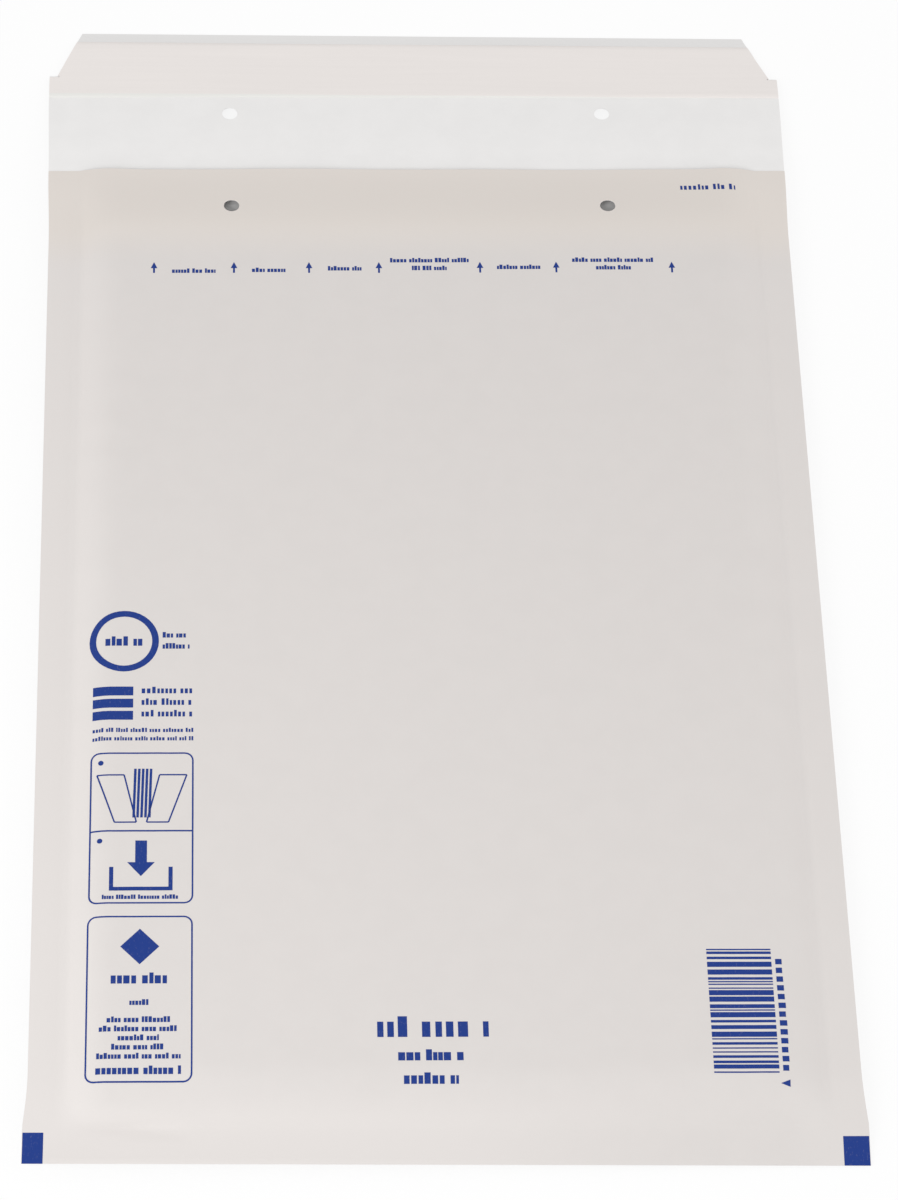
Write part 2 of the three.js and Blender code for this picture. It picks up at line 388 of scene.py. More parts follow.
class Wire:
    """A socket in a tree of nodes. Arithmetic on it adds Math nodes."""

    def __init__(self, bench, socket):
        self.bench = bench
        self.socket = socket

    def math(self, operation, *values):
        inputs = dict(enumerate(values))
        return self.bench.node("ShaderNodeMath", {"operation": operation}, inputs)

    def __add__(self, other):
        return self.math("ADD", self, other)

    def __radd__(self, other):
        return self.math("ADD", other, self)

    def __sub__(self, other):
        return self.math("SUBTRACT", self, other)

    def __rsub__(self, other):
        return self.math("SUBTRACT", other, self)

    def __mul__(self, other):
        return self.math("MULTIPLY", self, other)

    def __rmul__(self, other):
        return self.math("MULTIPLY", other, self)

    def __truediv__(self, other):
        return self.math("DIVIDE", self, other)

    def __abs__(self):
        return self.math("ABSOLUTE", self)

    def at_most(self, limit):
        return self.math("MINIMUM", self, limit)


class Bench:
    """A tree of nodes in the making."""

    def __init__(self, tree):
        self.tree = tree

    def node(self, kind, settings=None, inputs=None, output=0):
        """Adds a node, sets its settings and then its sockets, and returns one of its outputs."""
        made = self.tree.nodes.new(kind)
        for key, value in (settings or {}).items():
            setattr(made, key, value)
        for key, value in (inputs or {}).items():
            if isinstance(value, Wire):
                self.tree.links.new(value.socket, made.inputs[key])
            else:
                made.inputs[key].default_value = value
        return Wire(self, made.outputs[output])

    def seen(self):
        """1 for the rays that show a background: from the camera, off gloss and through glass."""
        rays = ("Is Camera Ray", "Is Glossy Ray", "Is Transmission Ray")
        camera, glossy, through = (self.node("ShaderNodeLightPath", output=ray) for ray in rays)
        return (camera + glossy + through).at_most(1.0)


class Finish(Bench):
    """A material in the making, with its Principled shader."""

    def __init__(self, name, **constants):
        self.material = bpy.data.materials.new(name)
        self.material.use_nodes = True
        super().__init__(self.material.node_tree)
        self.shader = self.tree.nodes["Principled BSDF"]
        for socket, value in constants.items():
            self.shader.inputs[socket.replace("_", " ")].default_value = value

    def feed(self, socket, wire):
        self.tree.links.new(wire.socket, self.shader.inputs[socket])

    def object_place(self):
        return self.node("ShaderNodeTexCoord", output="Object")

    def sheet_place(self):
        return self.node("ShaderNodeTexCoord", output="UV")

    def cloud(self, place, size, detail=2.0, roughness=0.5):
        """Noise with features of the given size."""
        inputs = {"Vector": place, "Scale": 1 / size, "Detail": detail, "Roughness": roughness}
        return self.node("ShaderNodeTexNoise", None, inputs)

    def stretched(self, place, scale):
        """The same place with its axes scaled, for grain that runs one way."""
        return self.node("ShaderNodeMapping", None, {"Vector": place, "Scale": scale})

    def rise(self, value, start, end):
        """0 below start, 1 above end, smooth between."""
        settings = {"interpolation_type": "SMOOTHSTEP"}
        inputs = {"Value": value, "From Min": start, "From Max": end}
        return self.node("ShaderNodeMapRange", settings, inputs)

    def blend(self, factor, first, second):
        """One colour over into another. A colour is a wire or three numbers."""
        inputs = {0: factor}
        for key, value in ((6, first), (7, second)):
            inputs[key] = value if isinstance(value, Wire) else (*value, 1.0)
        return self.node("ShaderNodeMix", {"data_type": "RGBA"}, inputs, output=2)

    def bump(self, height, distance, strength=1.0):
        inputs = {"Height": height, "Distance": distance, "Strength": strength}
        self.feed("Normal", self.node("ShaderNodeBump", None, inputs))


def shade(tint, factor):
    """A colour made lighter or darker."""
    return tuple(clamp(channel * factor) for channel in tint)


def paper_surface(finish, roughness):
    """Fibres, formation clouds and roughness that both faces of the paper share."""
    place = finish.object_place()
    fibre = finish.cloud(finish.stretched(place, (1.0, 0.45, 1.0)), 0.55 * MM, 3.0, 0.6)
    tooth = finish.cloud(place, 0.25 * MM, 1.0)
    formation = finish.cloud(place, 9 * MM, 3.0, 0.55)
    finish.feed("Roughness", roughness + 0.10 * (fibre - 0.5))
    finish.bump(0.6 * fibre + 0.25 * tooth + 0.5 * formation, 0.035 * MM, 0.6)
    return fibre, formation


def outer_paper(settings):
    """The printed side: paler where two panels lie together, with painted light over the side slopes, the
    left side and the bottom left, warmer where no film backs it.
    """
    look, form = settings.paper, settings.form
    finish = Finish("paper_outside", Specular_IOR_Level=0.3)
    fibre, formation = paper_surface(finish, 0.72)
    cloudy = finish.rise(formation, 0.3, 0.7)
    plain = finish.blend(cloudy, shade(look.outside, 0.993), shade(look.outside, 1.006))
    place = finish.sheet_place()
    across = finish.node("ShaderNodeSeparateXYZ", None, {0: place}, output="X")
    up_blank = finish.node("ShaderNodeSeparateXYZ", None, {0: place}, output="Y")
    blank = form.mouth + LENGTH
    along = abs(form.mouth / blank - up_blank)
    from_middle = abs(across - HALF_WIDTH / blank)
    unbacked = finish.rise(along, (FILM_TOP - 16 * MM) / blank, (FILM_TOP + 2 * MM) / blank)
    # Painted light: the side mask takes in the slopes beside the seams as well as the bonded margins. The
    # mix is strongest on the left and fades to the right, as light falls from the left, and the bottom
    # margin is lightened on the left only.
    side = finish.rise(from_middle, (HALF_WIDTH - 26 * MM) / blank, (HALF_WIDTH - 13 * MM) / blank)
    above_margin = finish.rise(along, 8 * MM / blank, 21 * MM / blank)
    painted_light_fades_right = finish.rise(across, (HALF_WIDTH - 10 * MM) / blank, (HALF_WIDTH + 70 * MM) / blank)
    bonded_and_painted_light = 1 - (1 - side * (1 - 0.6 * painted_light_fades_right)) * (1 - (1 - above_margin) * (1 - painted_light_fades_right))
    tinted = finish.blend(bonded_and_painted_light, plain, look.seam_tint_and_painted_light)
    tinted = finish.blend(unbacked, tinted, look.mouth_tint)
    fleck = finish.rise(fibre, 0.70, 0.80) * 0.25
    finish.feed("Base Color", finish.blend(fleck, tinted, shade(look.outside, 0.9)))
    return finish.material


def inner_paper(settings):
    """The unprinted side of the paper, which the open flap shows, with painted shade along the flap's tip.
    """
    look = settings.paper
    finish = Finish("paper_inside", Specular_IOR_Level=0.3)
    fibre, formation = paper_surface(finish, 0.78)
    plain = finish.blend(finish.rise(formation, 0.3, 0.7), shade(look.inside, 0.98), look.inside)
    blank = settings.form.mouth + LENGTH
    up_blank = finish.node("ShaderNodeSeparateXYZ", None, {0: finish.sheet_place()}, output="Y")
    # Painted shade: the paper over the last few millimetres of the flap's tip is drawn darker.
    tip = finish.rise(up_blank, (blank - 4.5 * MM) / blank, (blank - 3 * MM) / blank)
    plain = finish.blend(tip, plain, shade(look.inside, 0.9))
    fleck = finish.rise(fibre, 0.70, 0.80) * 0.25
    finish.feed("Base Color", finish.blend(fleck, plain, shade(look.inside, 0.92)))
    return finish.material


def bubble_film_finish(settings):
    """Clear polyethylene: thin, glossy and slightly milky."""
    look = settings.film
    finish = Finish("bubble_film", Alpha=0.42, Specular_IOR_Level=0.6)
    place = finish.object_place()
    milk = finish.cloud(place, 4 * MM, 2.0)
    wrinkle = finish.cloud(place, 1.6 * MM, 2.0)
    finish.feed("Base Color", finish.blend(milk, look.tint, shade(look.tint, 1.1)))
    finish.feed("Roughness", 0.10 + 0.12 * milk)
    finish.bump(wrinkle, 0.08 * MM, 0.5)
    return finish.material


def release_finish(settings):
    """Silicone release paper: smooth, with a soft shine, faint streaks along it and a painted highlight
    along its lower edge.
    """
    look = settings.strip
    finish = Finish("release_paper", Specular_IOR_Level=0.5)
    place = finish.object_place()
    streak = finish.cloud(finish.stretched(place, (0.03, 1.0, 1.0)), 1.2 * MM, 2.0)
    fibre = finish.cloud(place, 0.6 * MM, 2.0)
    up = finish.node("ShaderNodeSeparateXYZ", None, {0: place}, output="Y")
    # Painted highlight: the lowest millimetre of the strip takes the edge colour.
    past_edge_highlight = finish.rise(up, RELEASE_LOW.y + 0.7 * MM, RELEASE_LOW.y + 1.0 * MM)
    plain = finish.blend(streak, shade(look.release, 0.98), shade(look.release, 1.02))
    finish.feed("Base Color", finish.blend(past_edge_highlight, look.edge_painted_highlight, plain))
    finish.feed("Roughness", 0.42 + 0.10 * streak)
    finish.bump(0.5 * streak + 0.5 * fibre, 0.02 * MM, 0.5)
    return finish.material


def adhesive_finish(settings):
    """Hot-melt adhesive: amber, tacky, laid in fine ribs along the strip."""
    look = settings.strip
    finish = Finish("hot_melt", Specular_IOR_Level=0.5)
    place = finish.object_place()
    rib = finish.cloud(finish.stretched(place, (0.02, 1.0, 1.0)), 0.8 * MM, 1.0)
    finish.feed("Base Color", finish.blend(rib, shade(look.adhesive, 0.93), look.adhesive))
    finish.feed("Roughness", 0.28 + 0.12 * rib)
    finish.bump(rib, 0.05 * MM, 0.6)
    return finish.material


def ink_finish(settings):
    """Flexo ink on paper: even, a little thinner where the paper's fibres stand up."""
    look = settings.print
    finish = Finish("blue_ink", Specular_IOR_Level=0.2)
    place = finish.object_place()
    fibre = finish.cloud(finish.stretched(place, (1.0, 0.45, 1.0)), 0.55 * MM, 3.0, 0.6)
    thin = finish.rise(fibre, 0.55, 0.85) * 0.2
    finish.feed("Base Color", finish.blend(thin, look.ink, shade(settings.paper.outside, 0.55)))
    finish.feed("Roughness", 0.55 + 0.12 * (fibre - 0.5))
    finish.bump(fibre, 0.035 * MM, 0.4)
    return finish.material


def make_piece(name, bm, materials, smooth=True):
    """Turns a bmesh into a piece of the object that rides on the envelope's one body."""
    for face in bm.faces:
        face.smooth = smooth
    mesh = bpy.data.meshes.new(name)
    bm.to_mesh(mesh)
    bm.free()
    for material in materials:
        mesh.materials.append(material)
    piece = bpy.data.objects.new(name, mesh)
    bpy.context.collection.objects.link(piece)
    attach(piece, ROOT)
    return piece


def give_thickness(piece, thickness, inner_material=0):
    """Thickens a sheet towards its inner side."""
    solid = piece.modifiers.new("thickness", "SOLIDIFY")
    solid.thickness = thickness
    solid.offset = -1
    solid.material_offset = inner_material
    solid.material_offset_rim = inner_material


def sharpen_rims(bm):
    """Marks the open edges of a sheet, so that its cut faces are shaded apart from its sides."""
    for edge in bm.edges:
        if edge.is_boundary:
            edge.smooth = False


def flat_sheet(low, high, pitch):
    """A flat grid between two corners, with cells of about the given size."""
    bm = bmesh.new()
    span = high - low
    bmesh.ops.create_grid(
        bm, x_segments=max(1, round(span.x / pitch)), y_segments=max(1, round(span.y / pitch)), size=0.5
    )
    bmesh.ops.scale(bm, vec=(span.x, span.y, 1), verts=bm.verts)
    bmesh.ops.translate(bm, vec=((low.x + high.x) / 2, (low.y + high.y) / 2, 0), verts=bm.verts)
    return bm


def trim_flap_corners(bm, form):
    """Cuts the slanting corners of the flap, from a small step up to the tip."""
    score(bm, form.flap_step)
    for side in (-1, 1):
        flap = [f for f in bm.faces if f.calc_center_median().y > form.flap_step]
        geom = {*flap}
        for face in flap:
            geom.update(face.edges, face.verts)
        step = Vector((side * (HALF_WIDTH - form.flap_step_depth), form.flap_step, 0))
        tip = Vector((side * form.flap_tip_half, LENGTH, 0))
        run = tip - step
        outwards = Vector((side * run.y, -side * run.x, 0))
        bmesh.ops.bisect_plane(bm, geom=list(geom), plane_co=step, plane_no=outwards, clear_outer=True)


def punch_hole(bm, x, y, radius, pitch):
    """Punches a round hole: a block of cells round it gives way to rings that end in a circle."""
    centre = Vector((x, y))
    reach = 3.2 * pitch
    middles = {f: f.calc_center_median().xy - centre for f in bm.faces}
    block = {f for f, m in middles.items() if abs(m.x) < reach and abs(m.y) < reach}
    rim = [e for f in block for e in f.edges if any(other not in block for other in e.link_faces)]
    bmesh.ops.delete(bm, geom=list(block), context="FACES")
    grown = bmesh.ops.extrude_edge_only(bm, edges=rim)["geom"]
    circle = {g for g in grown if isinstance(g, bmesh.types.BMVert)}
    for vert in circle:
        vert.co.xy = centre + (vert.co.xy - centre).normalized() * radius
    spokes = [e for v in circle for e in v.link_edges if e.other_vert(v) not in circle]
    bmesh.ops.subdivide_edges(bm, edges=spokes, cuts=2)


def score(bm, y):
    """Adds a row of points across a flat sheet."""
    geom = [*bm.verts, *bm.edges, *bm.faces]
    bmesh.ops.bisect_plane(bm, geom=geom, plane_co=(0, y, 0), plane_no=(0, 1, 0))


def mark_sheet(bm, low, high):
    """Keeps each point's place on the flat sheet as a UV map, at one scale both ways."""
    layer = bm.loops.layers.uv.new("sheet")
    scale = 1 / (high.y - low.y)
    for face in bm.faces:
        for loop in face.loops:
            loop[layer].uv = (loop.vert.co.xy - low.xy) * scale


class ENVELOPE_OT_paper(bpy.types.Operator):
    """Cut, punch and fold the sheet of paper"""

    bl_idname = "envelope.paper"
    bl_label = "Paper"

    def execute(self, context):
        settings = context.scene.envelope
        look, form = settings.paper, PadForm(settings)
        low, high = Vector((-HALF_WIDTH, -form.mouth, 0)), Vector((HALF_WIDTH, LENGTH, 0))
        bm = flat_sheet(low, high, look.pitch)
        trim_flap_corners(bm, settings.form)
        for share_of_nose in NOSE_ROWS:
            score(bm, share_of_nose * form.wall)
        for x in (-look.hole_half_spacing, look.hole_half_spacing):
            for y in (look.flap_holes, -look.front_holes):
                punch_hole(bm, x, y, look.hole_radius, look.pitch)
        mark_sheet(bm, low, high)
        # The front panel is the part of the blank below its fold line, at zero.
        for vert in bm.verts:
            x, y = vert.co.xy
            vert.co = form.front_point(x, -y) if y < 0 else form.back_point(x, y)
        bmesh.ops.reverse_faces(bm, faces=bm.faces)
        sharpen_rims(bm)
        paper = make_piece("paper", bm, [outer_paper(settings), inner_paper(settings)])
        give_thickness(paper, look.sheet, inner_material=1)
        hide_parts("paper_envelope")
        return {"FINISHED"}


def dome(radius, segments=12):
    """One bubble as a bmesh: it stands on z = 0 and is 1 high."""
    bm = bmesh.new()
    bmesh.ops.create_circle(bm, cap_ends=True, segments=segments, radius=radius)
    top = bm.faces[:]
    for width, height in ((0.97, 0.5), (0.83, 0.86), (0.5, 1.0)):
        grown = bmesh.ops.extrude_face_region(bm, geom=top)["geom"]
        top = [g for g in grown if isinstance(g, bmesh.types.BMFace)]
        for vert in {v for f in top for v in f.verts}:
            vert.co.xy = vert.co.xy.normalized() * radius * width
            vert.co.z = height
    bmesh.ops.recalc_face_normals(bm, faces=bm.faces)
    return bm


class ENVELOPE_OT_bubble_film(bpy.types.Operator):
    """Fold the film into a pouch and set its bubbles"""

    bl_idname = "envelope.bubble_film"
    bl_label = "Bubble film"

    def execute(self, context):
        settings = context.scene.envelope
        look, form = settings.film, PadForm(settings)
        half = FILM_HIGH.x / form.drawn((FILM_BOTTOM + FILM_TOP) / 2)
        reach = FILM_TOP - FILM_BOTTOM

        def film_point(x, along, side, height):
            """A point at a share of a bubble's height over the outer face of one wall."""
            wall = form.pocket_half(x, along) + look.film
            room = max(0, form.pad_half(x, along) - look.gap - wall)
            z = form.seam_height(x, along) + side * (wall + height * room)
            return Vector((x * form.drawn(along), BOTTOM + along, z))

        bm = flat_sheet(Vector((-half, -reach, 0)), Vector((half, reach, 0)), look.pitch)
        for vert in bm.verts:
            x, y = vert.co.xy
            vert.co = film_point(x, FILM_BOTTOM + abs(y), 1 if y < 0 else -1, 0)
        bmesh.ops.reverse_faces(bm, faces=bm.faces)
        bmesh.ops.solidify(bm, geom=bm.faces[:], thickness=look.film)
        bubble = dome(look.bubble_radius)
        shape = bpy.data.meshes.new("bubble")
        bubble.to_mesh(shape)
        bubble.free()
        rows = range(math.ceil(FILM_BOTTOM / form.bubble_row), math.floor(FILM_TOP / form.bubble_row) + 1)
        for row in rows:
            along = row * form.bubble_row
            if not FILM_BOTTOM + look.bubble_radius < along < FILM_TOP - look.bubble_radius:
                continue
            shift = form.bubble_pitch / 2 * (row % 2)
            columns = math.floor((half - look.bubble_radius) / form.bubble_pitch)
            for column in range(-columns - 1, columns + 1):
                x = column * form.bubble_pitch + shift
                if abs(x) > half - look.bubble_radius:
                    continue
                for side in (-1, 1):
                    first = len(bm.verts)
                    bm.from_mesh(shape)
                    bm.verts.ensure_lookup_table()
                    for vert in bm.verts[first:]:
                        dx, dy, height = vert.co
                        vert.co = film_point(x + dx, along + dy, side, height)
        bpy.data.meshes.remove(shape)
        bmesh.ops.recalc_face_normals(bm, faces=bm.faces)
        film = make_piece("bubble_film", bm, [bubble_film_finish(settings)])
        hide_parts("bubble_liner")
        return {"FINISHED"}


class ENVELOPE_OT_closing_strip(bpy.types.Operator):
    """Lay the release paper over the adhesive on the flap"""

    bl_idname = "envelope.closing_strip"
    bl_label = "Closing strip"

    def execute(self, context):
        settings = context.scene.envelope
        look, form = settings.strip, PadForm(settings)
        low, high = Vector((-HALF_WIDTH, STRIP_BOTTOM, 0)), Vector((HALF_WIDTH, STRIP_TOP, 0))
        bm = flat_sheet(low, high, 1.6 * MM)
        trim_flap_corners(bm, settings.form)
        for inset in (0.25 * MM, 0.6 * MM):
            score(bm, STRIP_BOTTOM + inset)
            score(bm, STRIP_TOP - inset)
        for vert in bm.verts:
            x, along = vert.co.xy
            from_edge = min(along - STRIP_BOTTOM, STRIP_TOP - along)
            settled = ease(from_edge, 0, 0.7 * MM)
            wave = look.curl * (0.5 + drift(x / (40 * MM), along / (30 * MM), 11)) * bell(from_edge, 4 * MM)
            vert.co = form.flap_point(x, along, look.sheet + settled * (look.lift + wave))
        sharpen_rims(bm)
        strip = make_piece("release_strip", bm, [release_finish(settings)])
        give_thickness(strip, look.sheet)
        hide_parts("release_liner")
        self.adhesive(settings, form)
        return {"FINISHED"}

    def adhesive(self, settings, form):
        bead = settings.strip.bead
        up = Vector((0, BOTTOM, 0))
        bm = flat_sheet(ADHESIVE_LOW - up, ADHESIVE_HIGH - up, 2 * MM)
        for vert in bm.verts:
            vert.co = form.flap_point(vert.co.x, vert.co.y, bead)
        sharpen_rims(bm)
        adhesive = make_piece("adhesive_bead", bm, [adhesive_finish(settings)])
        give_thickness(adhesive, 0.8 * bead)
        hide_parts("adhesive_strip")


class InkPlate:
    """Flat printed shapes, gathered on a plate and then laid on the front panel."""

    def __init__(self, seed=0):
        self.bm = bmesh.new()
        self.dice = random.Random(seed)

    def bar(self, x0, x1, low, high):
        """A filled rectangle."""
        made = bmesh.ops.create_grid(self.bm, x_segments=1, y_segments=1, size=0.5)["verts"]
        bmesh.ops.scale(self.bm, vec=(x1 - x0, high - low, 1), verts=made)
        bmesh.ops.translate(self.bm, vec=((x0 + x1) / 2, (low + high) / 2, 0), verts=made)
        return made

    def ring(self, x, along, outer, inner, segments=40):
        """A flat ring."""
        loops = []
        for radius in (outer, inner):
            place = Matrix.Translation((x, along, 0))
            circle = bmesh.ops.create_circle(self.bm, segments=segments, radius=radius, matrix=place)
            loops += {e for v in circle["verts"] for e in v.link_edges}
        bmesh.ops.bridge_loops(self.bm, edges=loops)

    def disc(self, x, along, radius, segments=24):
        """A filled circle."""
        place = Matrix.Translation((x, along, 0))
        bmesh.ops.create_circle(self.bm, cap_ends=True, segments=segments, radius=radius, matrix=place)

    def polygon(self, points):
        """A filled shape with a few corners."""
        self.bm.faces.new([self.bm.verts.new((x, along, 0)) for x, along in points])

    def stroke(self, start, end, width):
        """A straight line of some width."""
        start, end = Vector(start), Vector(end)
        across = (end - start).orthogonal().normalized() * width / 2
        self.polygon([start - across, end - across, end + across, start + across])

    def frame(self, x0, x1, low, high, corner, line):
        """The outline of a rectangle with round corners."""
        made = self.bar(x0, x1, low, high)
        rounded = bmesh.ops.bevel(
            self.bm, geom=made, offset=corner, affect="VERTICES", segments=5, profile=0.5, material=-1
        )
        face = rounded["verts"][0].link_faces[0]
        bmesh.ops.inset_region(
            self.bm, faces=[face], thickness=line, use_boundary=True, use_even_offset=True
        )
        bmesh.ops.delete(self.bm, geom=[face], context="FACES_ONLY")

    def words(self, x0, x1, base, height, weight=0.78):
        """A line of blocks with the rhythm of small print, and no letters."""
        x = x0
        left_in_word = self.dice.randint(3, 8)
        while x < x1 - 0.3 * height:
            width = min(height * self.dice.uniform(0.42, 0.72), x1 - x)
            tall = height if self.dice.random() < 0.3 else height * 0.74
            self.bar(x, x + width * weight, base, base + tall)
            x += width
            left_in_word -= 1
            if left_in_word == 0:
                x += 0.4 * height
                left_in_word = self.dice.randint(3, 8)

    def cut(self, axis, start, pitch):
        """Cuts the shapes where the paper's mesh has its rows or columns, so that they bend alike."""
        across = Vector((0, 0, 0))
        across[axis] = 1
        places = [v.co[axis] for v in self.bm.verts]
        first = math.ceil((min(places) - start) / pitch)
        last = math.floor((max(places) - start) / pitch)
        for step in range(first, last + 1):
            geom = [*self.bm.verts, *self.bm.edges, *self.bm.faces]
            place = across * (start + step * pitch)
            bmesh.ops.bisect_plane(self.bm, geom=geom, plane_co=place, plane_no=across)

    def lay(self, name, form, pitch, lift, material):
        """Lays the plate on the front panel as a piece of its own."""
        for vert in self.bm.verts:
            vert.co.x /= form.drawn(vert.co.y)
        self.cut(0, -HALF_WIDTH, pitch)
        self.cut(1, form.mouth, pitch)
        for share_of_nose in NOSE_ROWS:
            score(self.bm, abs(share_of_nose) * form.wall)
        for vert in self.bm.verts:
            vert.co = form.front_point(vert.co.x, vert.co.y, lift)
        bmesh.ops.recalc_face_normals(self.bm, faces=self.bm.faces)
        for face in self.bm.faces:
            if face.normal.z < 0:
                face.normal_flip()
        return make_piece(name, self.bm, [material])


def opening_row(plate):
    """The row of small arrows and lines of print across the front, below the mouth."""
    for x in (-85.1, -59.8, -36.0, -13.8, 18.4, 42.7, 79.7):
        head = [(x - 1.05, 300.7), (x + 1.05, 300.7), (x, 303.0)]
        plate.polygon([(px * MM, py * MM) for px, py in head])
        plate.bar((x - 0.3) * MM, (x + 0.3) * MM, 298.9 * MM, 300.7 * MM)
    lines = (
        (-79.4, -65.5, 298.9),
        (-54.1, -42.4, 299.2),
        (-30.0, -19.2, 299.8),
        (-10.2, 15.0, 302.9),
        (-3.3, 7.9, 299.9),
        (23.8, 37.8, 300.2),
        (47.9, 74.1, 302.9),
        (55.4, 66.9, 300.0),
    )
    for x0, x1, base in lines:
        plate.words(x0 * MM, x1 * MM, base * MM, 1.7 * MM)


def mark_column(plate):
    """The column of plain signs and framed signs up the left side of the front."""
    plate.ring(-93 * MM, 165 * MM, 10.4 * MM, 8.4 * MM)
    plate.words(-98.6 * MM, -87.2 * MM, 163.4 * MM, 3.2 * MM)
    for base in (166.2, 162.4):
        plate.words(-81.5 * MM, -73.3 * MM, base * MM, 1.9 * MM)
    for low in (138.3, 142.4, 146.5):
        plate.bar(-102.1 * MM, -90.1 * MM, low * MM, (low + 3.0) * MM)
    for base in (147.2, 143.3, 139.4):
        plate.words(-87.6 * MM, -72.2 * MM, base * MM, 2.2 * MM, weight=0.65)
    for base in (134.2, 131.4):
        plate.words(-102.0 * MM, -72.0 * MM, base * MM, 1.4 * MM, weight=0.68)
    sorting_sign(plate)
    lined_sign(plate)


def sorting_sign(plate):
    """A framed sign in two halves: a fan of sheets above, an arrow into a tray below."""
    plate.frame(-102.5 * MM, -72.1 * MM, 78.2 * MM, 127.4 * MM, 2.6 * MM, 0.48 * MM)
    plate.bar(-102 * MM, -72.6 * MM, 101.4 * MM, 101.9 * MM)
    plate.disc(-99.4 * MM, 124.0 * MM, 0.8 * MM)
    plate.disc(-99.4 * MM, 98.4 * MM, 0.8 * MM)
    for x, lean in ((-92.0, -4.5), (-82.6, 4.5)):
        corners = [(x - 3.2, 104.5), (x + 3.2, 104.5), (x + 4.0 + lean, 120.0), (x - 4.0 + lean, 120.0)]
        for start, end in zip(corners, corners[1:] + corners[:1]):
            plate.stroke([c * MM for c in start], [c * MM for c in end], 0.45 * MM)
    for step in range(5):
        x = -89.6 + 1.15 * step
        plate.stroke((x * MM, 106.0 * MM), ((x + 0.4) * MM, 122.0 * MM), 0.75 * MM)
    plate.bar(-89.0 * MM, -85.6 * MM, 91.5 * MM, 98.5 * MM)
    plate.polygon([(x * MM, a * MM) for x, a in ((-91.3, 91.5), (-87.3, 87.0), (-83.3, 91.5))])
    plate.bar(-96.5 * MM, -78.1 * MM, 82.4 * MM, 83.6 * MM)
    for x in (-96.5, -79.3):
        plate.bar(x * MM, (x + 1.2) * MM, 83.6 * MM, 90.0 * MM)
    plate.words(-98.5 * MM, -76.0 * MM, 79.7 * MM, 1.4 * MM)


def lined_sign(plate):
    """A framed sign with a plain lozenge over lines of small print."""
    plate.frame(-102.7 * MM, -72.2 * MM, 22.8 * MM, 74.3 * MM, 2.6 * MM, 0.48 * MM)
    lozenge = ((-93.0, 64.6), (-87.4, 59.0), (-81.8, 64.6), (-87.4, 70.2))
    plate.polygon([(x * MM, a * MM) for x, a in lozenge])
    plate.words(-95.6 * MM, -79.2 * MM, 53.0 * MM, 3.4 * MM)
    lines = ((-90.2, -84.6, 46.3), (-96.6, -78.4, 41.0), (-98.8, -76.0, 38.2), (-93.4, -81.6, 35.4))
    lines += ((-95.2, -79.6, 32.6), (-99.4, -75.4, 29.8))
    for x0, x1, base in lines:
        plate.words(x0 * MM, x1 * MM, base * MM, 1.8 * MM)
    plate.words(-99.6 * MM, -75.2 * MM, 25.2 * MM, 2.5 * MM)


def title_lines(plate):
    """Three lines of blocks low in the middle of the front."""
    plate.words(-19.7 * MM, 13.1 * MM, 36.2 * MM, 6.4 * MM, weight=0.62)
    plate.words(-13.9 * MM, 5.0 * MM, 29.0 * MM, 3.4 * MM, weight=0.85)
    plate.words(-12.4 * MM, 3.4 * MM, 22.2 * MM, 3.2 * MM)


def stripe_code(plate):
    """A block of stripes that lie across the envelope, with a column of ticks beside it."""
    module = 0.405 * MM
    low, high = 24.9 * MM, 63.4 * MM
    while low < high - module:
        stripe = plate.dice.choice((1, 1, 2, 2, 3, 4)) * module
        plate.bar(75.9 * MM, 94.6 * MM, low, min(high, low + stripe))
        low += stripe + plate.dice.choice((1, 1, 1, 2, 2)) * module
    tick = 25.5 * MM
    while tick < 61 * MM:
        plate.bar(95.7 * MM, (97.4 + 0.5 * plate.dice.random()) * MM, tick, tick + 1.7 * MM)
        tick += 2.75 * MM
    plate.polygon([(x * MM, a * MM) for x, a in ((94.9, 22.0), (97.6, 21.0), (97.6, 23.0))])


def corner_marks(plate):
    """The solid marks in both bottom corners."""
    edge = HALF_WIDTH - 0.15 * MM
    plate.bar(-edge, -114 * MM, 0, 9.6 * MM)
    plate.bar(112.4 * MM, edge, 0, 8.3 * MM)


def batch_line(plate):
    """The short line of print beside the mouth."""
    plate.words(84.6 * MM, 102.8 * MM, 333.0 * MM, 2.4 * MM, weight=0.6)


PLATES = {
    "print_opening_row": opening_row,
    "print_mark_column": mark_column,
    "print_title_lines": title_lines,
    "print_stripe_code": stripe_code,
    "print_corner_marks": corner_marks,
    "print_batch_line": batch_line,
}


class ENVELOPE_OT_print(bpy.types.Operator):
    """Print the marks on the front panel"""

    bl_idname = "envelope.print"
    bl_label = "Print"

    def execute(self, context):
        settings = context.scene.envelope
        form, lift = PadForm(settings), settings.print.lift
        ink = ink_finish(settings)
        for seed, (name, draw) in enumerate(PLATES.items()):
            plate = InkPlate(seed)
            draw(plate)
            plate.lay(name, form, settings.paper.pitch, lift, ink)
        return {"FINISHED"}


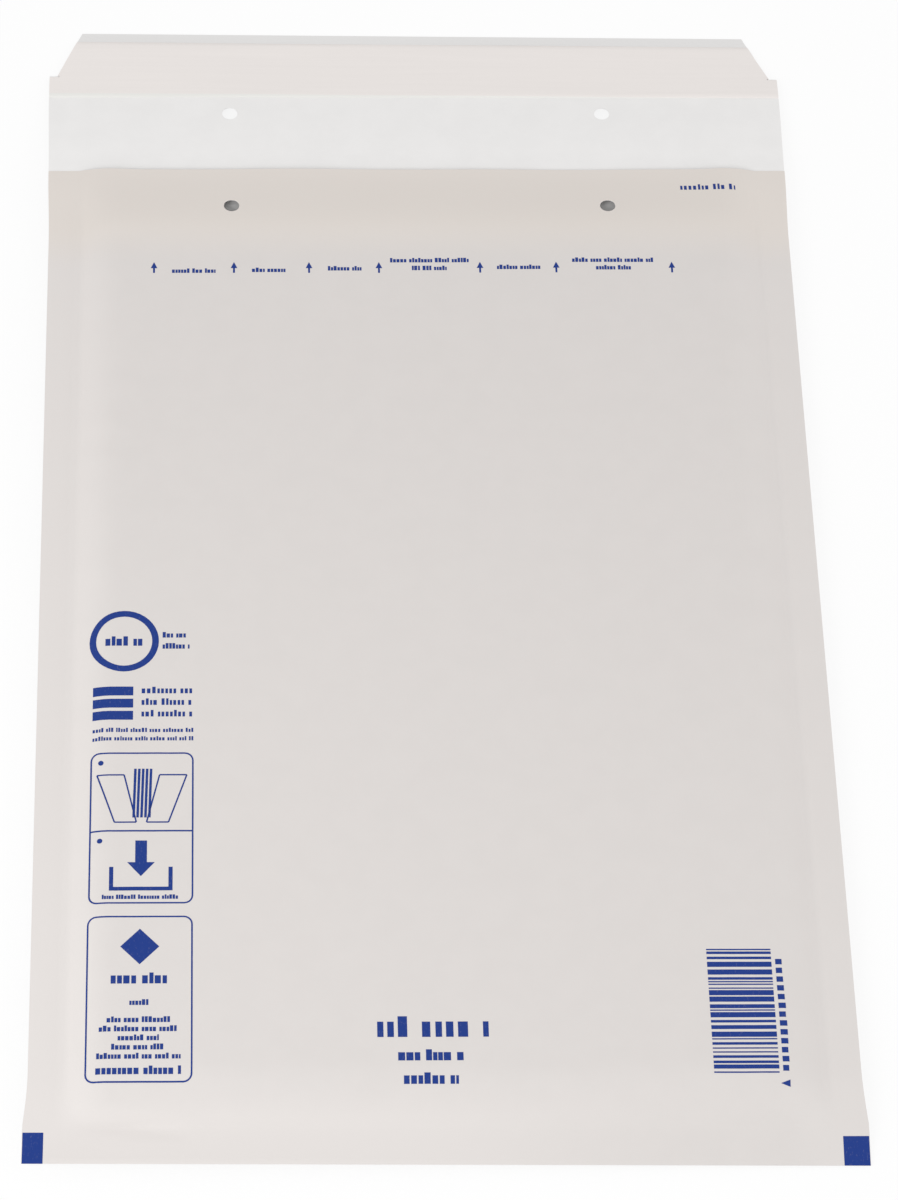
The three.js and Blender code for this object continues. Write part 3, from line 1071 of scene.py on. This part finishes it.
class ENVELOPE_OT_stage(bpy.types.Operator):
    """Set the floor, the light and the camera"""

    bl_idname = "envelope.stage"
    bl_label = "Stage"

    def execute(self, context):
        scene = context.scene
        look = scene.envelope.stage
        scene.view_settings.view_transform = "Standard"
        self.floor(look)
        self.sky(scene, look)
        self.lamp("key_lamp", (-0.62, -0.55, 0.62), 0.6, look.key)
        self.lamp("fill_lamp", (1.2, -0.1, 0.45), 0.8, look.fill)
        self.camera(scene, look)
        return {"FINISHED"}

    def floor(self, look):
        bm = bmesh.new()
        bmesh.ops.create_grid(bm, x_segments=1, y_segments=1, size=6)
        bmesh.ops.translate(bm, vec=(0, 0, -0.1 * MM), verts=bm.verts)
        mesh = bpy.data.meshes.new("floor")
        bm.to_mesh(mesh)
        bm.free()
        floor = bpy.data.objects.new("floor", mesh)
        bpy.context.collection.objects.link(floor)
        finish = Finish("floor", Roughness=0.9, Specular_IOR_Level=0.1, Emission_Strength=1.0)
        seen = finish.seen()
        finish.feed("Base Color", finish.blend(seen, look.floor, shade(look.floor, 1 - look.glow)))
        finish.feed("Emission Color", seen * look.glow)
        mesh.materials.append(finish.material)

    def sky(self, scene, look):
        world = bpy.data.worlds.new("sky")
        world.use_nodes = True
        scene.world = world
        bench = Bench(world.node_tree)
        background = bench.tree.nodes["Background"]
        background.inputs["Color"].default_value = (1, 1, 1, 1)
        strength = look.sky + (1 - look.sky) * bench.seen()
        bench.tree.links.new(strength.socket, background.inputs["Strength"])

    def lamp(self, name, place, size, power):
        light = bpy.data.lights.new(name, "AREA")
        light.energy = power
        light.size = size
        lamp = bpy.data.objects.new(name, light)
        bpy.context.collection.objects.link(lamp)
        lamp.location = place
        lamp.rotation_euler = (-Vector(place)).to_track_quat("-Z", "Y").to_euler()

    def camera(self, scene, look):
        camera = bpy.data.cameras.new("camera")
        camera.lens = look.lens
        camera.sensor_width = 36
        camera.shift_x = 0.05
        camera.clip_start = 0.01
        eye = bpy.data.objects.new("camera", camera)
        bpy.context.collection.objects.link(eye)
        eye.location = (-0.06922, -0.61036, 1.04436)
        eye.rotation_euler = Euler([math.radians(a) for a in (29.696, -2.382, -1.254)])
        scene.camera = eye


OPERATORS = (
    ENVELOPE_OT_paper,
    ENVELOPE_OT_bubble_film,
    ENVELOPE_OT_closing_strip,
    ENVELOPE_OT_print,
    ENVELOPE_OT_stage,
)


class ENVELOPE_PT_sidebar(bpy.types.Panel):
    """The envelope's pieces and settings"""

    bl_idname = "ENVELOPE_PT_sidebar"
    bl_label = "Padded envelope"
    bl_space_type = "VIEW_3D"
    bl_region_type = "UI"
    bl_category = "Envelope"

    def draw(self, context):
        for operator in OPERATORS:
            self.layout.operator(operator.bl_idname)
        settings = context.scene.envelope
        for name in ("form", "paper", "film", "strip", "print", "stage"):
            group = getattr(settings, name)
            box = self.layout.box()
            box.label(text=name.capitalize())
            for key in group.__annotations__:
                box.prop(group, key)


CLASSES = (
    FormSizes,
    PaperLook,
    FilmLook,
    StripLook,
    PrintLook,
    StageLook,
    EnvelopeSettings,
    *OPERATORS,
    ENVELOPE_PT_sidebar,
)


def register():
    for cls in CLASSES:
        bpy.utils.register_class(cls)
    bpy.types.Scene.envelope = bpy.props.PointerProperty(type=EnvelopeSettings)


def unregister():
    del bpy.types.Scene.envelope
    for cls in reversed(CLASSES):
        bpy.utils.unregister_class(cls)


def main():
    register()
    bpy.ops.envelope.paper()
    bpy.ops.envelope.bubble_film()
    bpy.ops.envelope.closing_strip()
    bpy.ops.envelope.print()
    bpy.ops.envelope.stage()


if __name__ == "__main__":
    main()
